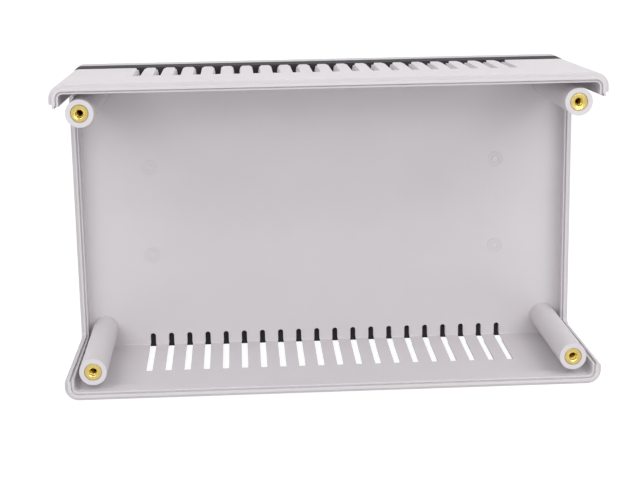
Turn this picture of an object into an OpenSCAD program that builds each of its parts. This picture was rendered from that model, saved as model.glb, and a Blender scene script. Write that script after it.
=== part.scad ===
// Vented enclosure box: a moulded half shell lying on its back with the open side up.
// The shell stands on a dark backing tray, which a shallow rear cover closes.

/* [Shell] */
// Length over the outer faces at the parting plane
shell_length = 218; // [190:0.5:260]
// Width over the outer faces at the parting plane
shell_width = 127.5; // [110:0.5:160]
// Depth from the outer face of the panel to the parting plane
shell_depth = 66.5; // [52:0.5:90]
// Thickness of the walls at the rim
wall = 3.7; // [3.4:0.1:4]
// Thickness of the long walls between the posts, below the rim's band
side_wall = 1.8; // [1.5:0.1:2.2]
// Thickness of the panel
panel = 2.5; // [2:0.1:4]
// Draft of the walls outside, taken off each side at the panel
draft = 1.3; // [0.8:0.1:1.4]
// Draft of the walls inside, taken off each side at the panel
inner_draft = 0.7; // [0.3:0.1:0.8]
// Outer radius of the upright corners at the parting plane
corner_radius = 5.5; // [5.3:0.1:6.5]
// Outer radius of the fold between the panel and the walls
fold_radius = 2; // [1:0.1:2.2]
// Fillet between the panel and the walls inside
inner_fillet = 0.4; // [0.2:0.1:0.6]

/* [Rim] */
// Width of the outer shoulder that the other half rests on
shoulder = 1.4; // [1:0.1:1.5]
// Width of the tongue that locates the other half
tongue = 1.2; // [1:0.1:1.4]
// Height of the tongue above the shoulder
tongue_height = 1.6; // [1:0.1:2.2]
// Step from the tongue down to the inner lip
lip_step = 0.7; // [0.4:0.1:0.9]
// Width of the groove between the tongue and the inner lip
groove = 0.5; // [0.3:0.1:0.6]
// Depth of the groove below the inner lip
groove_depth = 0.4; // [0.2:0.1:1.2]
// Height of the thick band that carries the rim along the long walls
band_height = 8; // [6:0.2:14]

/* [Open ends] */
// Width of each ear, from the side of the shell to the edge of the tongue
ear_width = 9.3; // [8.8:0.1:12]
// Height of the tongue of the low end rim above the outer face of the panel
low_rim = 9.6; // [7:0.1:20]
// Width of the shoulder along the open ends
end_shoulder = 1.2; // [0.9:0.1:1.4]
// Width of the tongue along the open ends
end_tongue = 1; // [0.8:0.1:1.2]
// Draft of the opening, taken off each side at the low rim
opening_draft = 1; // [0.4:0.1:2]
// Radius in the lower corners of the opening
opening_radius = 2; // [1:0.1:4]

/* [Vents] */
// Number of slots along each side
vent_count = 20; // [8:1:20]
// Distance from slot to slot
vent_pitch = 8.1; // [5:0.1:8.6]
// Width of a slot in the panel
vent_width = 2.3; // [1.5:0.05:2.6]
// Width of a slot at the wall's inner face
vent_inside = 2.6; // [1.8:0.05:2.9]
// Width of a slot at the wall's outer face
vent_outside = 3.2; // [2:0.05:3.6]
// Height of the closed end of a slot above the outer face of the panel
vent_height = 38; // [20:0.2:46]
// Height at which the round edges of a slot's flare start, inside the slot
flare_height = 17.4; // [15:0.2:18]
// Radius of the round edges of the flare
flare_radius = 80; // [75:1:110]
// Depth of the flare in the outer face
flare_depth = 1; // [0.6:0.1:1.2]
// Least width of the fold that stays between two flares
flare_rib = 0.8; // [0.4:0.1:2]
// Length of a slot on the panel, inward from the outer face of the wall
vent_reach = 7; // [5.5:0.1:10]

/* [Posts and inserts] */
// Distance from the outer faces of the shell to the axis of a post
post_inset = 11.5; // [11.2:0.1:16]
// Diameter of a post
post_diameter = 11; // [9.5:0.1:11.2]
// Distance of the ends of the posts below the parting plane
post_drop = 0.6; // [0:0.1:3]
// Diameter of a brass insert over its knurled bands
insert_diameter = 7.1; // [6:0.1:8]
// Length of an insert
insert_length = 9; // [6:0.5:14]
// Depth of the groove between the knurled bands
insert_groove = 0.4; // [0.2:0.1:0.6]
// Thread bore of an insert, at the minor diameter
thread_bore = 2.5; // [2.2:0.1:3.4]
// Diameter of the countersunk mouth of an insert
mouth_diameter = 4.2; // [3.6:0.1:5.2]
// Depth of the countersunk mouth of an insert
mouth_depth = 2; // [0.8:0.1:2.5]
// Diameter of the screw clearance under an insert
clearance_bore = 3.4; // [3:0.1:4.4]
// Depth of the screw clearance under an insert
clearance_depth = 8; // [4:0.5:16]

/* [Moulding marks] */
// Distance between the marks along the panel
mark_spacing_x = 151; // [100:1:165]
// Distance between the marks across the panel
mark_spacing_y = 39; // [20:1:80]
// Diameter of the outer ring of a mark
mark_outer = 6.6; // [5:0.1:9]
// Diameter of the inner ring of a mark
mark_inner = 3.6; // [2.4:0.1:3.8]
// Width of the rings
mark_line = 0.5; // [0.3:0.1:0.8]
// Depth of the rings
mark_depth = 0.25; // [0.1:0.05:0.5]

/* [Back] */
// Depth of the dark backing tray
tray_depth = 11.5; // [9:0.5:20]
// Thickness of the tray's floor and walls
tray_wall = 2.3; // [1.8:0.1:2.5]
// Radius of the tray's front edge, behind the shell
tray_radius = 1; // [0.4:0.1:1.6]
// Depth of the rear cover
cover_depth = 10; // [7:0.5:20]
// Thickness of the rear cover's floor and walls
cover_wall = 2.3; // [1.8:0.1:2.5]
// Radius of the rear cover's back edge
cover_radius = 2; // [1:0.1:2.4]
// Height of the cover's spigot inside the tray
spigot_height = 3; // [2:0.1:5]
// Thickness of the cover's spigot
spigot = 1.1; // [0.8:0.1:1.2]
// Clearance between the spigot and the tray
spigot_clearance = 0.2; // [0.1:0.05:0.3]

/* [Hidden] */
$fn = 64;

// Steps of the small fillets and of the corners of the open ends
arc_steps = 6;
// Overlap of cutting bodies past the faces they cut
cut = 0.5;

// Axes of the upright corners, shared by the shell, the tray and the cover
corner_x = shell_length / 2 - corner_radius;
corner_y = shell_width / 2 - corner_radius;
// Outer corner radius at the panel, and the same outline on the tray and the cover
back_radius = corner_radius - draft;
draft_angle = atan(draft / shell_depth);
// The inner fillet stays inside the corner's own radius
fillet = min(inner_fillet, corner_radius - wall - inner_draft - 0.05);

// Levels above the outer face of the panel
tongue_top = shell_depth + tongue_height;
lip_top = tongue_top - lip_step;
groove_floor = lip_top - groove_depth;
band_foot = lip_top - band_height;
post_top = shell_depth - post_drop;

// Levels of the pieces above the surface that the box lies on
tray_z = cover_depth;
shell_z = cover_depth + tray_depth;

post_x = shell_length / 2 - post_inset;
post_y = shell_width / 2 - post_inset;
vent_end = shell_width / 2 - draft - vent_reach;

// Points of an arc about (x, y)
function arc(x, y, r, from, to) =
    [for (i = [0:arc_steps]) let (a = from + (to - from) * i / arc_steps) [x + r * cos(a), y + r * sin(a)]];

// Distances of the drafted faces from the corner's axis, at a height above the panel's outer face
function outer_face(z) = back_radius + draft * z / shell_depth;
function inner_face(z) = corner_radius - wall - inner_draft * (1 - z / lip_top);
function side_face(z) = outer_face(z) - side_wall;

// Quarter disc that rounds an outer edge, with its middle at (x, y) and its arc down or up
module edge_round(x, y, r, up) {
    translate([x, y]) intersection() {
        circle(r = r);
        translate([0, up ? 0 : -r]) square(r);
    }
}

// Section of the shell from the corner's axis outward: panel, fold, wall and stepped rim
module shell_section() {
    fold_x = outer_face(fold_radius) - fold_radius;
    polygon(concat(
        [[0, 0],
         [fold_x, 0],
         [fold_x + fold_radius, fold_radius],
         [outer_face(shell_depth), shell_depth],
         [outer_face(shell_depth) - shoulder, shell_depth],
         [outer_face(tongue_top) - shoulder, tongue_top],
         [outer_face(tongue_top) - shoulder - tongue, tongue_top],
         [outer_face(groove_floor) - shoulder - tongue, groove_floor],
         [outer_face(groove_floor) - shoulder - tongue - groove, groove_floor],
         [outer_face(lip_top) - shoulder - tongue - groove, lip_top],
         [inner_face(lip_top), lip_top]],
        arc(inner_face(panel + fillet) - fillet, panel + fillet, fillet, 0, -90),
        [[0, panel]]));
    edge_round(fold_x, fold_radius, fold_radius, false);
}

// Section of the hollow that leaves the long walls thin from the panel to the rim's band
module hollow_section() {
    polygon(concat(
        [[0, panel]],
        arc(side_face(panel + fillet) - fillet, panel + fillet, fillet, -90, 0),
        [[side_face(band_foot - side_wall), band_foot - side_wall],
         [inner_face(band_foot) - cut, band_foot + cut],
         [0, band_foot + cut]]));
}

// Section of the backing tray: its floor lies against the shell and its wall points back
module tray_section() {
    polygon(
        [[0, tray_depth - tray_wall],
         [back_radius - tray_wall, tray_depth - tray_wall],
         [back_radius - tray_wall, 0],
         [back_radius, 0],
         [back_radius, tray_depth - tray_radius],
         [back_radius - tray_radius, tray_depth],
         [0, tray_depth]]);
    edge_round(back_radius - tray_radius, tray_depth - tray_radius, tray_radius, true);
}

// Section of the rear cover: rounded back edge, wall and the spigot that enters the tray
module cover_section() {
    spigot_face = back_radius - tray_wall - spigot_clearance;
    polygon(
        [[0, 0],
         [back_radius - cover_radius, 0],
         [back_radius, cover_radius],
         [back_radius, cover_depth],
         [spigot_face, cover_depth],
         [spigot_face, cover_depth + spigot_height],
         [spigot_face - spigot, cover_depth + spigot_height],
         [spigot_face - spigot, cover_wall],
         [0, cover_wall]]);
    edge_round(back_radius - cover_radius, cover_radius, cover_radius, false);
}

// A section carried round the rectangle of the corner axes, closed by a plate inside it
module carried_round(plate_z, plate) {
    for (turn = [0, 180]) {
        rotate(turn) translate([corner_x, 0, 0]) straight_run(2 * corner_y) children();
        rotate(turn + 90) translate([corner_y, 0, 0]) straight_run(2 * corner_x) children();
    }
    for (side = [[1, 1, 0], [-1, 1, 90], [-1, -1, 180], [1, -1, 270]])
        translate([side[0] * corner_x, side[1] * corner_y, 0])
            rotate(side[2]) rotate_extrude(angle = 90) children();
    translate([-corner_x, -corner_y, plate_z]) cube([2 * corner_x, 2 * corner_y, plate]);
}

module straight_run(length) {
    rotate([90, 0, 0]) linear_extrude(height = length, center = true) children();
}

// Half width of the open end at a height, where grow moves the edge back from the tongue's
function opening_half(z, grow) =
    shell_width / 2 - ear_width + grow - opening_draft * (shell_depth - z) / (shell_depth - low_rim);

// Outline of the open end in the plane of the end wall, with round lower corners
function opening(grow) =
    let (bottom = low_rim - grow,
         r = opening_radius + grow,
         half = opening_half(bottom, grow),
         top = tongue_top + cut)
    concat(
        [[-opening_half(top, grow), top]],
        arc(r - half, bottom + r, r, 180, 270),
        arc(half - r, bottom + r, r, 270, 360),
        [[opening_half(top, grow), top]]);

// Cuts part of the end wall's thickness, between two depths inward from its drafted outer face
module end_cut(from, to, grow) {
    translate([-to, 0, 0]) rotate([90, 0, 90]) linear_extrude(height = to - from) polygon(opening(grow));
}

// The open end, with shoulder, tongue, groove and lip following its edge as they follow the rim
module open_end() {
    tongue_in = end_shoulder + end_tongue;
    translate([shell_length / 2 - draft, 0, 0]) rotate([0, draft_angle, 0]) {
        end_cut(-cut, wall + cut, 0);
        end_cut(-cut, end_shoulder, tongue_height);
        end_cut(tongue_in, wall + cut, lip_step);
        end_cut(tongue_in, tongue_in + groove, lip_step + groove_depth);
    }
}

// One slot: a round-ended cut in the panel, and a cut up the wall that opens outward and flares at the fold
module vent_slot() {
    translate([0, vent_end, -cut]) linear_extrude(height = panel + 2 * cut) {
        translate([0, vent_width / 2]) circle(d = vent_width);
        translate([-vent_width / 2, vent_width / 2]) square([vent_width, vent_reach + cut - vent_width / 2]);
    }
    slope = (vent_outside - vent_inside) / 2 / side_wall;
    inside = vent_inside / 2 - slope * cut;
    outside = vent_outside / 2 + slope * cut;
    translate([0, shell_width / 2 - draft, 0]) rotate([-draft_angle, 0, 0])
        translate([0, 0, -cut]) linear_extrude(height = vent_height + cut) polygon(
            [[-inside, -side_wall - cut],
             [inside, -side_wall - cut],
             [outside, cut],
             [-outside, cut]]);
    translate([0, shell_width / 2, 0]) rotate([90, 0, 0])
        linear_extrude(height = draft + flare_depth) flare_outline();
}

// Outline of a slot's flared mouth in the plane of the wall, with a round edge on each side
module flare_outline() {
    widest = vent_pitch - flare_rib;
    narrowest = vent_inside - cut;
    difference() {
        translate([-widest / 2, -cut]) square([widest, flare_height + cut]);
        for (side = [-1, 1])
            translate([side * (narrowest / 2 + flare_radius), flare_height]) circle(r = flare_radius);
    }
}

module vent_row() {
    for (i = [0:vent_count - 1])
        translate([(i - (vent_count - 1) / 2) * vent_pitch, 0, 0]) vent_slot();
}

// A round post with the bore for its insert and the screw clearance under it
module post() {
    insert_floor = post_top - insert_length;
    hole_floor = insert_floor - clearance_depth;
    rotate_extrude() polygon(
        [[0, panel / 2],
         [post_diameter / 2, panel / 2],
         [post_diameter / 2, post_top],
         [insert_diameter / 2, post_top],
         [insert_diameter / 2, insert_floor],
         [clearance_bore / 2, insert_floor],
         [clearance_bore / 2, hole_floor],
         [0, hole_floor]]);
}

// Two fine rings left in the panel's inner face by the mould
module moulding_mark() {
    for (d = [mark_outer, mark_inner])
        translate([0, 0, panel - mark_depth]) difference() {
            cylinder(d = d, h = mark_depth + cut);
            translate([0, 0, -cut]) cylinder(d = d - 2 * mark_line, h = mark_depth + 3 * cut);
        }
}

module shell() {
    color([0.82, 0.80, 0.82]) translate([0, 0, shell_z]) {
        difference() {
            carried_round(0, panel) shell_section();
            for (side = [0, 1]) {
                mirror([side, 0, 0]) open_end();
                mirror([0, side, 0]) {
                    rotate(90) translate([corner_y, 0, 0]) straight_run(2 * post_x) hollow_section();
                    vent_row();
                }
            }
            for (x = [-1, 1], y = [-1, 1])
                translate([x * mark_spacing_x / 2, y * mark_spacing_y / 2, 0]) moulding_mark();
        }
        for (x = [-1, 1], y = [-1, 1])
            translate([x * post_x, y * post_y, 0]) post();
    }
}

module backing_tray() {
    color([0.15, 0.14, 0.15]) translate([0, 0, tray_z])
        carried_round(tray_depth - tray_wall, tray_wall) tray_section();
}

module rear_cover() {
    color([0.74, 0.73, 0.75]) carried_round(0, cover_wall) cover_section();
}

// A brass insert: two knurled bands with a groove between, a threaded bore and a countersunk mouth
module insert(x, y) {
    r = insert_diameter / 2;
    band = insert_length / 3;
    color([0.85, 0.70, 0.35])
        translate([x * post_x, y * post_y, shell_z + post_top - insert_length])
            rotate_extrude() polygon(
                [[thread_bore / 2, 0],
                 [r, 0],
                 [r, band],
                 [r - insert_groove, band + insert_groove],
                 [r - insert_groove, 2 * band - insert_groove],
                 [r, 2 * band],
                 [r, insert_length],
                 [mouth_diameter / 2, insert_length],
                 [thread_bore / 2, insert_length - mouth_depth]]);
}

shell();
backing_tray();
rear_cover();
insert(-1, -1);  // insert_front_left
insert(1, -1);  // insert_front_right
insert(-1, 1);  // insert_rear_left
insert(1, 1);  // insert_rear_right
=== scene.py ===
import math

import bpy
import numpy as np
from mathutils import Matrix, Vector


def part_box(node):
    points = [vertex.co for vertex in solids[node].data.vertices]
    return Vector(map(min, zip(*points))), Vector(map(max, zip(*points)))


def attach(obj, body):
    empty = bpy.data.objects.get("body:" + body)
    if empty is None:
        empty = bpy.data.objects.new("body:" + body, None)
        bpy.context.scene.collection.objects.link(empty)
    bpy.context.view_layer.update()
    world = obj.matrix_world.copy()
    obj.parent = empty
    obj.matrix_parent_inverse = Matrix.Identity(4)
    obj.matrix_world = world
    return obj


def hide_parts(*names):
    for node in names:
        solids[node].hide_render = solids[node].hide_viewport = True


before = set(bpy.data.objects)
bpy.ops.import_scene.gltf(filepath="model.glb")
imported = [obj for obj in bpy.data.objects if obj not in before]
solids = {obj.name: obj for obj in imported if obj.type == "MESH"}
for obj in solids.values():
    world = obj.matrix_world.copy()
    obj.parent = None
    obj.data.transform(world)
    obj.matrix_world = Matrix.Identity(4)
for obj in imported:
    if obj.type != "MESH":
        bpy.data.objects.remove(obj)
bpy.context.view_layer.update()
print("frame loaded with", len(solids), "solids")

scene = bpy.context.scene
scene.view_settings.view_transform = "Standard"


# Camera, above the long side with the upper vents and a little to the left of the middle
camera = {
    "place": (-0.03546, 0.13014, 0.65439),
    "tilt": -0.22604,  # radians, back from looking straight down
    "swing": -0.05314,
    "roll": -0.01649,
    "focal": 82.53,  # mm
    "sensor": 36,  # mm wide
    "clip": (0.01, 20),
}


def makeCamera(c):
    data = bpy.data.cameras.new("camera")
    data.lens = c["focal"]
    data.sensor_width = c["sensor"]
    data.clip_start, data.clip_end = c["clip"]
    eye = bpy.data.objects.new("camera", data)
    eye.rotation_mode = "ZXY"
    eye.rotation_euler = (c["tilt"], c["swing"], c["roll"])
    eye.location = c["place"]
    scene.collection.objects.link(eye)
    scene.camera = eye


makeCamera(camera)


# Studio: pale surroundings, darker overhead, soft boxes low and high beyond the upper vents, and two fills
# on the other side
studio = {
    "light": (0.60, 0.18),  # level of the surroundings as light, near the floor and overhead
    "seen": (1.0, 0.8),  # what the camera sees of them and the brass mirrors
    "turn": (0.4, 0.9),  # heights between which the first level turns into the second; 1 is overhead
    "distance": 1.2,  # from each lamp to the middle of the floor
}
lamps = {
    "low_left": {"azimuth": -38, "height": 34, "size": (0.7, 0.5), "power": 3.2, "mirrored": True},
    "low_right": {"azimuth": 38, "height": 34, "size": (0.7, 0.5), "power": 4.3, "mirrored": True},
    "high_left": {"azimuth": -38, "height": 68, "size": (0.6, 0.4), "power": 3.5, "mirrored": False},
    "high_right": {"azimuth": 38, "height": 68, "size": (0.6, 0.4), "power": 2.4, "mirrored": True},
    "fill_left": {"azimuth": -125, "height": 50, "size": (0.7, 0.7), "power": 1.55, "mirrored": False},
    "fill_right": {"azimuth": 125, "height": 50, "size": (0.7, 0.7), "power": 2.3, "mirrored": False},
}
noiseSpan = (0.3, 0.7)  # where most values of a noise lie


# Carries a value from one span to another
def ranged(tree, value, low, high, span=noiseSpan):
    node = tree.nodes.new("ShaderNodeMapRange")
    node.inputs["From Min"].default_value = span[0]
    node.inputs["From Max"].default_value = span[1]
    node.inputs["To Min"].default_value = low
    node.inputs["To Max"].default_value = high
    tree.links.new(value, node.inputs["Value"])
    return node.outputs["Result"]


# 1 for rays that see a surface directly, in a mirror or through glass, and 0 for light that falls on others
def seenRays(tree):
    path = tree.nodes.new("ShaderNodeLightPath")
    seen = path.outputs["Is Camera Ray"]
    for kind in ("Is Glossy Ray", "Is Transmission Ray"):
        either = tree.nodes.new("ShaderNodeMath")
        either.operation = "MAXIMUM"
        tree.links.new(seen, either.inputs[0])
        tree.links.new(path.outputs[kind], either.inputs[1])
        seen = either.outputs["Value"]
    return seen


def makeWorld(s):
    world = bpy.data.worlds.new("studio")
    world.use_nodes = True
    tree = world.node_tree
    where = tree.nodes.new("ShaderNodeTexCoord")
    split = tree.nodes.new("ShaderNodeSeparateXYZ")
    tree.links.new(where.outputs["Generated"], split.inputs["Vector"])
    mix = tree.nodes.new("ShaderNodeMix")
    for socket, kind in (("A", "light"), ("B", "seen")):
        level = ranged(tree, split.outputs["Z"], *s[kind], span=s["turn"])
        tree.links.new(level, mix.inputs[socket])
    tree.links.new(seenRays(tree), mix.inputs["Factor"])
    tree.links.new(mix.outputs["Result"], tree.nodes["Background"].inputs["Color"])
    scene.world = world


def makeLamp(name, s, distance):
    data = bpy.data.lights.new(name, "AREA")
    data.shape = "RECTANGLE"
    data.size, data.size_y = s["size"]
    data.energy = s["power"]
    around = math.radians(s["azimuth"])  # from the long side of the upper vents, positive to the right
    up = math.radians(s["height"])
    aim = Vector((math.sin(around) * math.cos(up), math.cos(around) * math.cos(up), math.sin(up)))
    lamp = bpy.data.objects.new(name, data)
    lamp.location = aim * distance
    lamp.rotation_mode = "QUATERNION"
    lamp.rotation_quaternion = aim.to_track_quat("Z", "Y")
    lamp.visible_glossy = s["mirrored"]
    scene.collection.objects.link(lamp)


makeWorld(studio)
for name, lamp in lamps.items():
    makeLamp(name, lamp, studio["distance"])
print("camera, surroundings and lamps in place")


# A new material, its node tree and its main shader
def newMaterial(name):
    material = bpy.data.materials.new(name)
    material.use_nodes = True
    tree = material.node_tree
    return material, tree, tree.nodes["Principled BSDF"]


def noiseAt(tree, coords, scale, detail, roughness=0.5):
    noise = tree.nodes.new("ShaderNodeTexNoise")
    noise.inputs["Scale"].default_value = scale
    noise.inputs["Detail"].default_value = detail
    noise.inputs["Roughness"].default_value = roughness
    tree.links.new(coords, noise.inputs["Vector"])
    return noise.outputs["Fac"]


def blended(tree, value, colourA, colourB):
    mix = tree.nodes.new("ShaderNodeMix")
    mix.data_type = "RGBA"
    mix.inputs["A"].default_value = (*colourA, 1)
    mix.inputs["B"].default_value = (*colourB, 1)
    tree.links.new(value, mix.inputs["Factor"])
    return mix.outputs["Result"]


def bumped(tree, shader, height, depth, under=None):
    bump = tree.nodes.new("ShaderNodeBump")
    bump.inputs["Strength"].default_value = 1
    bump.inputs["Distance"].default_value = depth
    tree.links.new(height, bump.inputs["Height"])
    if under is not None:
        tree.links.new(under, bump.inputs["Normal"])
    tree.links.new(bump.outputs["Normal"], shader.inputs["Normal"])
    return bump.outputs["Normal"]


# What all the moulded plastics share: how fine each noise is, and the slow waves from shrinkage
moulding = {
    "cloudDetail": 3,
    "sheenDetail": 2,
    "grainDetail": 4,
    "grainRoughness": 0.6,
    "waveDetail": 1,
    "waveScale": 18,
    "waveDepth": 0.00008,
    "ior": 1.5,
}


# Moulded plastic: faint clouding of the colour, patches of sheen, slow waves and a spark-eroded grain
def mouldedPlastic(name, p, m):
    material, tree, shader = newMaterial(name)
    coords = tree.nodes.new("ShaderNodeTexCoord").outputs["Object"]
    clouds = ranged(tree, noiseAt(tree, coords, p["cloudScale"], m["cloudDetail"]), 0, 1)
    tree.links.new(blended(tree, clouds, p["colour"], p["cloudColour"]), shader.inputs["Base Color"])
    sheen = noiseAt(tree, coords, p["sheenScale"], m["sheenDetail"])
    tree.links.new(ranged(tree, sheen, p["smooth"], p["rough"]), shader.inputs["Roughness"])
    shader.inputs["IOR"].default_value = m["ior"]
    shader.inputs["Specular IOR Level"].default_value = p["specular"]
    waves = noiseAt(tree, coords, m["waveScale"], m["waveDetail"])
    grain = noiseAt(tree, coords, p["grainScale"], m["grainDetail"], m["grainRoughness"])
    bumped(tree, shader, grain, p["grainDepth"], bumped(tree, shader, waves, m["waveDepth"]))
    return material


lightGrey = {
    "colour": (0.590, 0.562, 0.581),
    "cloudColour": (0.576, 0.549, 0.569),
    "cloudScale": 45,
    "sheenScale": 910,
    "grainScale": 2600,
    "grainDepth": 0.000012,
    "smooth": 0.50,
    "rough": 0.64,
    "specular": 0.35,
}
charcoal = {
    "colour": (0.034, 0.030, 0.035),
    "cloudColour": (0.029, 0.026, 0.030),
    "cloudScale": 60,
    "sheenScale": 770,
    "grainScale": 2200,
    "grainDepth": 0.000020,
    "smooth": 0.55,
    "rough": 0.68,
    "specular": 0.07,
}
coverGrey = {
    "colour": (0.450, 0.440, 0.460),
    "cloudColour": (0.435, 0.425, 0.446),
    "cloudScale": 45,
    "sheenScale": 910,
    "grainScale": 2600,
    "grainDepth": 0.000012,
    "smooth": 0.38,
    "rough": 0.50,
    "specular": 0.5,
}

lightGreyPlastic = mouldedPlastic("light_grey_plastic", lightGrey, moulding)
charcoalPlastic = mouldedPlastic("charcoal_plastic", charcoal, moulding)
coverGreyPlastic = mouldedPlastic("cover_grey_plastic", coverGrey, moulding)


# Turned brass: fine rings about each insert's own axis, from the distance to the nearest post axis
brass = {
    "colour": (0.85, 0.685, 0.25),
    "dullColour": (0.77, 0.605, 0.205),
    "tarnishScale": 700,
    "smooth": 0.14,
    "rough": 0.26,
    "scuffScale": 1800,
    "detail": 3,  # of both noises
    "ringsPerMetre": 6000,
    "ringDepth": 0.000004,
}


def turnedBrass(name, b, axisX, axisY):
    material, tree, shader = newMaterial(name)
    coords = tree.nodes.new("ShaderNodeTexCoord").outputs["Object"]
    split = tree.nodes.new("ShaderNodeSeparateXYZ")
    tree.links.new(coords, split.inputs["Vector"])

    def worked(operation, value, number=0):
        step = tree.nodes.new("ShaderNodeMath")
        step.operation = operation
        step.inputs[1].default_value = number
        tree.links.new(value, step.inputs[0])
        return step.outputs["Value"]

    flat = tree.nodes.new("ShaderNodeCombineXYZ")
    for side, axis in (("X", axisX), ("Y", axisY)):
        offAxis = worked("SUBTRACT", worked("ABSOLUTE", split.outputs[side]), axis)
        tree.links.new(offAxis, flat.inputs[side])
    reach = tree.nodes.new("ShaderNodeVectorMath")
    reach.operation = "LENGTH"
    tree.links.new(flat.outputs["Vector"], reach.inputs[0])
    turns = worked("MULTIPLY", reach.outputs["Value"], b["ringsPerMetre"] * 2 * math.pi)
    rings = worked("SINE", turns)

    tarnish = ranged(tree, noiseAt(tree, coords, b["tarnishScale"], b["detail"]), 0, 1)
    tree.links.new(blended(tree, tarnish, b["colour"], b["dullColour"]), shader.inputs["Base Color"])
    scuffs = noiseAt(tree, coords, b["scuffScale"], b["detail"])
    tree.links.new(ranged(tree, scuffs, b["smooth"], b["rough"]), shader.inputs["Roughness"])
    shader.inputs["Metallic"].default_value = 1
    bumped(tree, shader, rings, b["ringDepth"])
    return material


insertLow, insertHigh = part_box("insert_rear_right")
postX = (insertLow.x + insertHigh.x) / 2
postY = (insertLow.y + insertHigh.y) / 2
insertRadius = (insertHigh.x - insertLow.x) / 2
brassMaterial = turnedBrass("brass", brass, postX, postY)
print("plastics and brass mixed")


# Floor: plain white, seen as white by the camera apart from the object's own soft shadow
floor = {
    "reach": 4.0,
    "level": -0.0002,  # just under the object
    "colour": (0.86, 0.86, 0.86, 1),
    "roughness": 0.9,
    "seenColour": (0.30, 0.30, 0.30, 1),
    "seenGlow": 0.82,
}


def makeFloor(f):
    material, tree, shader = newMaterial("floor_white")
    shader.inputs["Base Color"].default_value = f["colour"]
    shader.inputs["Roughness"].default_value = f["roughness"]
    shader.inputs["Specular IOR Level"].default_value = 0
    seen = tree.nodes.new("ShaderNodeBsdfDiffuse")
    seen.inputs["Color"].default_value = f["seenColour"]
    glow = tree.nodes.new("ShaderNodeEmission")
    glow.inputs["Strength"].default_value = f["seenGlow"]
    both = tree.nodes.new("ShaderNodeAddShader")
    tree.links.new(seen.outputs["BSDF"], both.inputs[0])
    tree.links.new(glow.outputs["Emission"], both.inputs[1])
    mix = tree.nodes.new("ShaderNodeMixShader")
    tree.links.new(seenRays(tree), mix.inputs["Fac"])
    tree.links.new(shader.outputs["BSDF"], mix.inputs[1])
    tree.links.new(both.outputs["Shader"], mix.inputs[2])
    tree.links.new(mix.outputs["Shader"], tree.nodes["Material Output"].inputs["Surface"])
    corners = np.array([(-1, -1, 0), (1, -1, 0), (1, 1, 0), (-1, 1, 0)]) * f["reach"]
    corners[:, 2] = f["level"]
    mesh = bpy.data.meshes.new("floor")
    mesh.from_pydata(corners.tolist(), [], [(0, 1, 2, 3)])
    mesh.materials.append(material)
    plane = bpy.data.objects.new("floor", mesh)
    scene.collection.objects.link(plane)


makeFloor(floor)
print("floor laid")


# The solids keep their shape and take their finish; their sharp moulded edges get a small round
dress = {
    "shell": {"material": lightGreyPlastic, "round": 0.00022},
    "backing_tray": {"material": charcoalPlastic, "round": 0.00030},
    "rear_cover": {"material": coverGreyPlastic, "round": 0.00030},
}
rounding = {
    "join": 0.000002,  # loose triangles are joined within this distance
    "segments": 2,
    "leastAngle": 32,  # degrees; flatter edges stay as they are
}


def softenEdges(solid, width, r):
    weld = solid.modifiers.new("weld", "WELD")
    weld.merge_threshold = r["join"]
    bevel = solid.modifiers.new("edge_round", "BEVEL")
    bevel.width = width
    bevel.segments = r["segments"]
    bevel.limit_method = "ANGLE"
    bevel.angle_limit = math.radians(r["leastAngle"])
    bevel.use_clamp_overlap = True
    normals = solid.modifiers.new("flat_faces", "WEIGHTED_NORMAL")
    normals.keep_sharp = True


for name, d in dress.items():
    solid = solids[name]
    solid.data.materials.clear()
    solid.data.materials.append(d["material"])
    softenEdges(solid, d["round"], rounding)
print("solids dressed")


# Threaded inserts: sleeves with axial teeth on two bands outside and a cut thread inside, in millimetres
sleeve = {
    "teeth": 28,
    "toothDepth": 0.2,
    "toothWidth": 3,  # the higher, the wider the teeth and the narrower the valleys
    "groove": 0.4,
    "edge": 0.2,
    "toothFade": 0.5,  # the teeth fade out over this much of the end face
    "bore": 1.25,
    "threadDepth": 0.25,
    "threadFlat": 0.15,  # share of the pitch that is flat at crest and root
    "pitch": 0.5,
    "mouth": 2.1,
    "mouthDepth": 2.0,
    "footBevel": 0.4,
    "columns": 112,
    "rowsPerTurn": 8,
    "sharpAngle": 35,  # degrees
}


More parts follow.
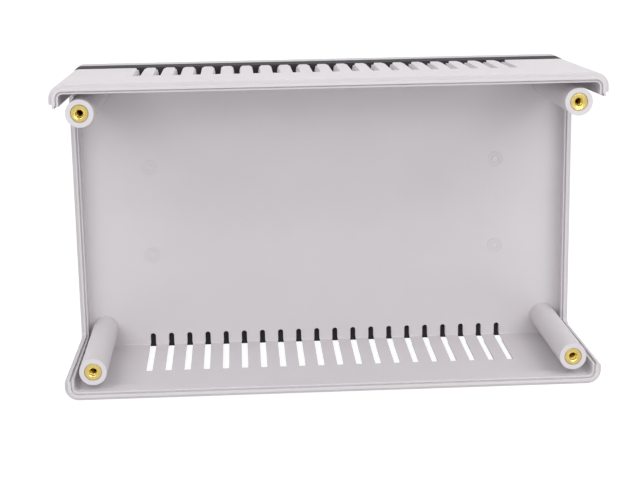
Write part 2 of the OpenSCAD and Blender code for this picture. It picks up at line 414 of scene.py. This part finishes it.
# Closed grid of rows along the profile and columns round the axis. Outside, the radius falls by the tooth
# depth between the teeth of a band. Inside, it is the largest of the thread, whose ridge climbs one pitch a
# turn, the mouth, a quarter of an ellipse from the bore up to the flat end, and the bevel at the foot.
def makeSleeve(name, s):
    low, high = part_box(name)
    length = (high.z - low.z) * 1000
    radius = insertRadius * 1000
    band = length / 3
    edge, groove = s["edge"], s["groove"]
    outside = np.array([  # height, radius, share of the tooth depth
        (0, radius - groove, 0),
        (0, radius - edge, 0.5),
        (edge, radius, 1),
        (band, radius, 1),
        (band + groove, radius - groove, 0),
        (2 * band - groove, radius - groove, 0),
        (2 * band, radius, 1),
        (length - edge, radius, 1),
        (length, radius - edge, 0.8),
        (length, radius - s["toothFade"], 0),
    ])
    turn = np.linspace(0, 2 * np.pi, s["columns"], endpoint=False)
    valley = np.abs(np.sin(s["teeth"] * turn / 2)) ** s["toothWidth"]
    outerR = outside[:, 1:2] - s["toothDepth"] * outside[:, 2:3] * valley
    outerZ = np.repeat(outside[:, :1], s["columns"], axis=1)
    rows = int(length / s["pitch"] * s["rowsPerTurn"]) + 1
    innerZ = np.repeat(np.linspace(length, 0, rows)[:, None], s["columns"], axis=1)
    phase = (innerZ / s["pitch"] - turn / (2 * np.pi)) % 1
    flat = s["threadFlat"]
    ridge = np.clip((np.abs(2 * phase - 1) - flat) / (1 - 2 * flat), 0, 1)
    thread = s["bore"] + s["threadDepth"] * ridge
    rise = np.clip(1 - (length - innerZ) / s["mouthDepth"], 0, 1)
    bell = s["bore"] + (s["mouth"] - s["bore"]) * (1 - np.sqrt(1 - rise ** 2))
    foot = s["bore"] + s["footBevel"] - innerZ
    innerR = np.maximum(np.maximum(thread, bell), foot)
    r = np.concatenate([outerR, innerR]) / 1000
    z = np.concatenate([outerZ, innerZ]) / 1000 + low.z
    x = (low.x + high.x) / 2 + r * np.cos(turn)
    y = (low.y + high.y) / 2 + r * np.sin(turn)
    points = np.stack([x, y, z], axis=2).reshape(-1, 3)
    row, column = np.meshgrid(np.arange(r.shape[0]), np.arange(r.shape[1]), indexing="ij")
    nextRow = (row + 1) % r.shape[0]
    nextColumn = (column + 1) % r.shape[1]
    corners = [(row, column), (row, nextColumn), (nextRow, nextColumn), (nextRow, column)]
    faces = np.stack([a * r.shape[1] + b for a, b in corners], axis=2).reshape(-1, 4)
    mesh = bpy.data.meshes.new(name + "_sleeve")
    mesh.from_pydata(points, [], faces)
    mesh.shade_smooth()
    mesh.set_sharp_from_angle(angle=math.radians(s["sharpAngle"]))
    mesh.materials.append(brassMaterial)
    piece = bpy.data.objects.new(name + "_sleeve", mesh)
    scene.collection.objects.link(piece)
    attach(piece, "root")
    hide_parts(name)


for name in solids:
    if name.startswith("insert_"):
        makeSleeve(name, sleeve)
print("threaded inserts built")
